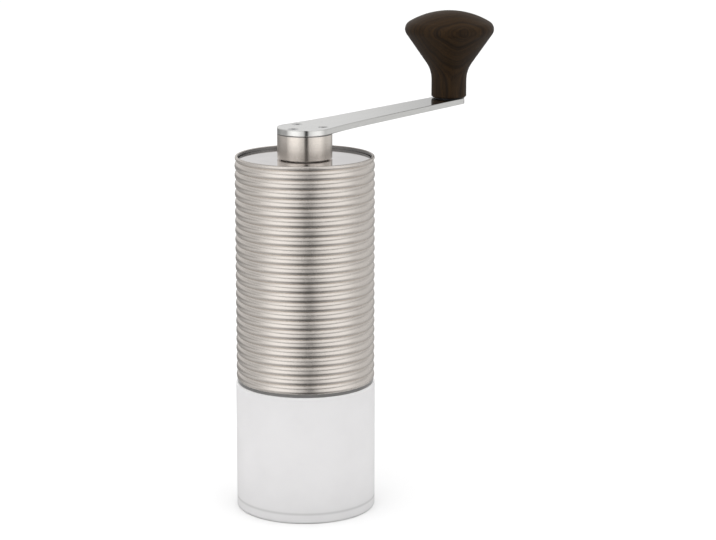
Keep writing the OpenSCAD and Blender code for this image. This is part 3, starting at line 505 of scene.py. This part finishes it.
def spring(name, body, low, high, wire, turns):
    """A smooth spring in the box of the CAD spring."""
    centre = ((low.x + high.x) / 2, (low.y + high.y) / 2)
    mean_r = (high.y - low.y) / 2 - wire / 2
    points = coil_points(centre, mean_r, low.z + wire / 2, high.z - wire / 2, turns)
    made = tube_along(name, points, wire / 2)
    made.data.materials.append(steel_spring)
    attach(made, body)
    return made


spring_low, spring_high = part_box("burr_spring")
burr_coil = spring("burr_coil", "shaft", spring_low, spring_high, BURR_WIRE, BURR_TURNS)
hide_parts("burr_spring")
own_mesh(burr_coil)

# Screw thread of the jar: a ridge round the neck, and one in the socket half a turn further on
THREAD_LEAD = 4.05 * MM
THREAD_FIRST_Z = 58.6 * MM
THREAD_TURNS = 0.9
THREAD_SINK = 0.1 * MM
THREAD_TAPER = 0.06
NECK_R = 25.65 * MM
SOCKET_R = 26.35 * MM
RIDGE_TIP = 0.5 * MM
RIDGE_FOOT_HALF = 0.75 * MM
RIDGE_TIP_HALF = 0.3 * MM
RIDGE_CORNERS = 4


def thread_ridge(name, body, material, wall_r, outward, start_turn, steps=108):
    """A helical ridge that stands out of a round wall, or into it, and runs out at both ends."""
    foot_r = wall_r - outward * THREAD_SINK
    verts = []
    for k in range(steps + 1):
        t = k / steps
        run_out = min(1.0, t / THREAD_TAPER, (1 - t) / THREAD_TAPER)
        tip_r = foot_r + outward * (THREAD_SINK + RIDGE_TIP) * run_out
        turn = 2 * math.pi * (start_turn + THREAD_TURNS * t)
        middle = THREAD_FIRST_Z + THREAD_LEAD * THREAD_TURNS * t
        outline = ((foot_r, -RIDGE_FOOT_HALF), (tip_r, -RIDGE_TIP_HALF), (tip_r, RIDGE_TIP_HALF),
                   (foot_r, RIDGE_FOOT_HALF))
        for radius, lift in outline:
            verts.append((radius * math.cos(turn), radius * math.sin(turn), middle + lift))
    faces = []
    for k in range(steps):
        for j in range(RIDGE_CORNERS):
            a = RIDGE_CORNERS * k + j
            b = RIDGE_CORNERS * k + (j + 1) % RIDGE_CORNERS
            faces.append((a, b, b + RIDGE_CORNERS, a + RIDGE_CORNERS))
    first_end = tuple(range(RIDGE_CORNERS))
    faces.append(first_end[::-1])
    faces.append(tuple(RIDGE_CORNERS * steps + j for j in first_end))
    if outward > 0:
        faces = [face[::-1] for face in faces]
    made = mesh_object(name, verts, faces)
    made.data.materials.append(material)
    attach(made, body)


thread_ridge("neck_thread", "jar", jar_glass, NECK_R, 1, 0.0)
thread_ridge("socket_thread", "body", alloy_dark, SOCKET_R, -1, 0.5)

# Floor, which fades out into a white backdrop
FLOOR_REACH = 2.6
FLOOR_FADE = 1.4
FLOOR_TONE = 0.885
FLOOR_ROUGHNESS = 0.4


def make_floor():
    """A pale, slightly glossy floor that isn't mirrored in the object."""
    half = FLOOR_REACH
    corners = [(-half, -half, 0), (half, -half, 0), (half, half, 0), (-half, half, 0)]
    floor = mesh_object("floor", corners, [(0, 1, 2, 3)])
    material, tree, shader = start_material("pale_floor")
    reach = vector_math(tree, "LENGTH", spot(tree), output="Value")
    set_inputs(tree, shader, {"Base Color": (FLOOR_TONE, FLOOR_TONE, FLOOR_TONE, 1),
                              "Roughness": FLOOR_ROUGHNESS, "Specular IOR Level": 0.5,
                              "Alpha": span(tree, reach, FLOOR_FADE, FLOOR_REACH, 1, 0)})
    floor.data.materials.append(material)
    floor.visible_glossy = False


make_floor()


# Lights: a broad one overhead for the floor, and a smaller one that shines on the jar's front

def soft_light(name, centre, target, size, power):
    """A square light that shines towards a point and isn't mirrored in the object."""
    data = bpy.data.lights.new(name, "AREA")
    data.shape = "SQUARE"
    data.size = size
    data.energy = power
    light = bpy.data.objects.new(name, data)
    light.location = centre
    light.rotation_euler = (target - centre).to_track_quat("-Z", "Y").to_euler()
    light.visible_camera = False
    light.visible_glossy = False
    bpy.context.scene.collection.objects.link(light)


soft_light("ceiling", place(0, 1.7, 3.0), place(0, 1.7, 0), size=8.0, power=206)
soft_light("front_left", place(-0.3, -1.3, 0.5), place(0, 0, 0.05), size=0.7, power=1.0)

# Studio that the metal mirrors: strengths
STUDIO_STRENGTH = 1.3
BACKDROP_STRENGTH = 1.05
SLIT_STRENGTH = 0.045
SCREEN_NEAR = 0.61
SCREEN_MORE = 0.37
SCREEN_END = 0.55
RIGHT_SHADE = 0.09
DIM_BAND_DEPTH = 0.74
DIM_BAND_SIDE = 0.3
GROUND_FRONT = 0.17
GROUND_SIDE = 0.75
WALL_FOOT = 0.31
WALL_STRENGTH = 0.62
WALL_TOP = 0.5
WALL_LEFT = 0.95
WALL_MIDDLE = 0.62
WALL_RIGHT = 0.98
GAP_DEPTH = 0.38

# Where each strength gives way to the next: two angles in degrees, sideways from the slit
SLIT_DEG = 8.5
SLIT_EDGE = (2, 14)
SCREEN_GROWS = (8, 44)
SCREEN_FADES = (55, 94)
RIGHT_STARTS = (18, 42)
RIGHT_ENDS = (84, 106)
GROUND_TURN = (15, 100)
BAND_TURN = (30, 80)
GAP_FAR = (-165, -150)
GAP_NEAR = (-90, -78)
WALL_TURN = (112, 158)

# The same, sideways from the middle of the wall behind the object
WALL_LEFT_EDGE = (-1, 3.5)
WALL_RIGHT_EDGE = (8, 25)

# The same, up from the horizon
GROUND_EDGE = (-44, -26)
BAND_FOOT_EDGE = (7, 18)
BAND_TOP_EDGE = (22, 30)
GAP_FOOT_EDGE = (-18, -11)
GAP_TOP_EDGE = (-3, 4)
WALL_FOOT_EDGE = (-7, 5)
WALL_TOP_EDGE = (22, 36)


def rise(tree, value, edge, to_low=0.0, to_high=1.0):
    """A smooth step between two angles, given in degrees."""
    low, high = (math.radians(angle) for angle in edge)
    inputs = {"Value": value, "From Min": low, "From Max": high, "To Min": to_low, "To Max": to_high}
    return node(tree, "ShaderNodeMapRange", inputs, interpolation_type="SMOOTHSTEP").outputs["Result"]


def times(tree, first, *others):
    """The product of two or more values."""
    product = first
    for other in others:
        product = math_node(tree, "MULTIPLY", product, other)
    return product


def rest_of(tree, value):
    """What is left of one when a value is taken from it."""
    return math_node(tree, "SUBTRACT", 1.0, value)


def blend_values(tree, factor, a, b):
    """A value that goes from a to b as the factor goes from 0 to 1."""
    return math_node(tree, "ADD", times(tree, a, rest_of(tree, factor)), times(tree, b, factor))


def front_screens(tree, turn, side, lift):
    """A tall bright screen on each side of the camera, with a dark slit between the two, a dim band above
    eye level, and dim ground."""
    near_slit = rise(tree, side, SLIT_EDGE, SLIT_STRENGTH, SCREEN_NEAR)
    further_out = rise(tree, side, SCREEN_GROWS, 0.0, SCREEN_MORE)
    both_screens = times(tree, math_node(tree, "ADD", near_slit, further_out),
                         rise(tree, side, SCREEN_FADES, 1.0, SCREEN_END))
    on_right = times(tree, rise(tree, turn, RIGHT_STARTS), rise(tree, turn, RIGHT_ENDS, RIGHT_SHADE, 0.0))
    ground = rise(tree, side, GROUND_TURN, GROUND_FRONT, GROUND_SIDE)
    level = blend_values(tree, rise(tree, lift, GROUND_EDGE), ground, 1.0)
    in_band = times(tree, rise(tree, lift, BAND_FOOT_EDGE), rise(tree, lift, BAND_TOP_EDGE, 1.0, 0.0))
    dimmed = times(tree, in_band, rise(tree, side, BAND_TURN, DIM_BAND_DEPTH, DIM_BAND_SIDE))
    return times(tree, both_screens, rest_of(tree, on_right), level, rest_of(tree, dimmed))


def back_wall(tree, across, ahead, lift):
    """A pale wall behind the object, dimmer at its foot, at its top and in an upright strip."""
    by_height = times(tree, rise(tree, lift, WALL_FOOT_EDGE, WALL_FOOT, WALL_STRENGTH),
                      rise(tree, lift, WALL_TOP_EDGE, 1.0, WALL_TOP))
    behind = math_node(tree, "ARCTAN2", across, times(tree, ahead, -1.0))
    from_left = rise(tree, behind, WALL_LEFT_EDGE, WALL_LEFT, WALL_MIDDLE)
    to_right = rise(tree, behind, WALL_RIGHT_EDGE, 0.0, WALL_RIGHT - WALL_MIDDLE)
    return times(tree, by_height, math_node(tree, "ADD", from_left, to_right))


def left_gap(tree, turn, lift):
    """The share of light that is missing in a low gap on the left."""
    by_height = times(tree, rise(tree, lift, GAP_FOOT_EDGE), rise(tree, lift, GAP_TOP_EDGE, 1.0, 0.0))
    by_turn = times(tree, rise(tree, turn, GAP_FAR), rise(tree, turn, GAP_NEAR, 1.0, 0.0))
    return times(tree, by_height, by_turn, GAP_DEPTH)


def make_studio():
    """Light from all round for the object, and an even white backdrop where the camera looks past it."""
    world = bpy.data.worlds.new("studio")
    world.use_nodes = True
    tree = world.node_tree
    background = tree.nodes["Background"]
    towards = node(tree, "ShaderNodeTexCoord").outputs["Generated"]
    across = vector_math(tree, "DOT_PRODUCT", towards, RIGHT, "Value")
    ahead = vector_math(tree, "DOT_PRODUCT", towards, -AWAY, "Value")
    lift = math_node(tree, "ARCSINE", one_part(tree, towards, "Z"))
    turn = math_node(tree, "SUBTRACT", math_node(tree, "ARCTAN2", across, ahead), math.radians(SLIT_DEG))
    side = math_node(tree, "ABSOLUTE", turn)
    front = front_screens(tree, turn, side, lift)
    wall = back_wall(tree, across, ahead, lift)
    around = blend_values(tree, rise(tree, side, WALL_TURN), front, wall)
    lit = times(tree, around, rest_of(tree, left_gap(tree, turn, lift)), STUDIO_STRENGTH)
    seen = node(tree, "ShaderNodeLightPath").outputs["Is Camera Ray"]
    set_inputs(tree, background, {"Color": (1, 1, 1, 1),
                                  "Strength": blend_values(tree, seen, lit, BACKDROP_STRENGTH)})
    bpy.context.scene.world = world


make_studio()
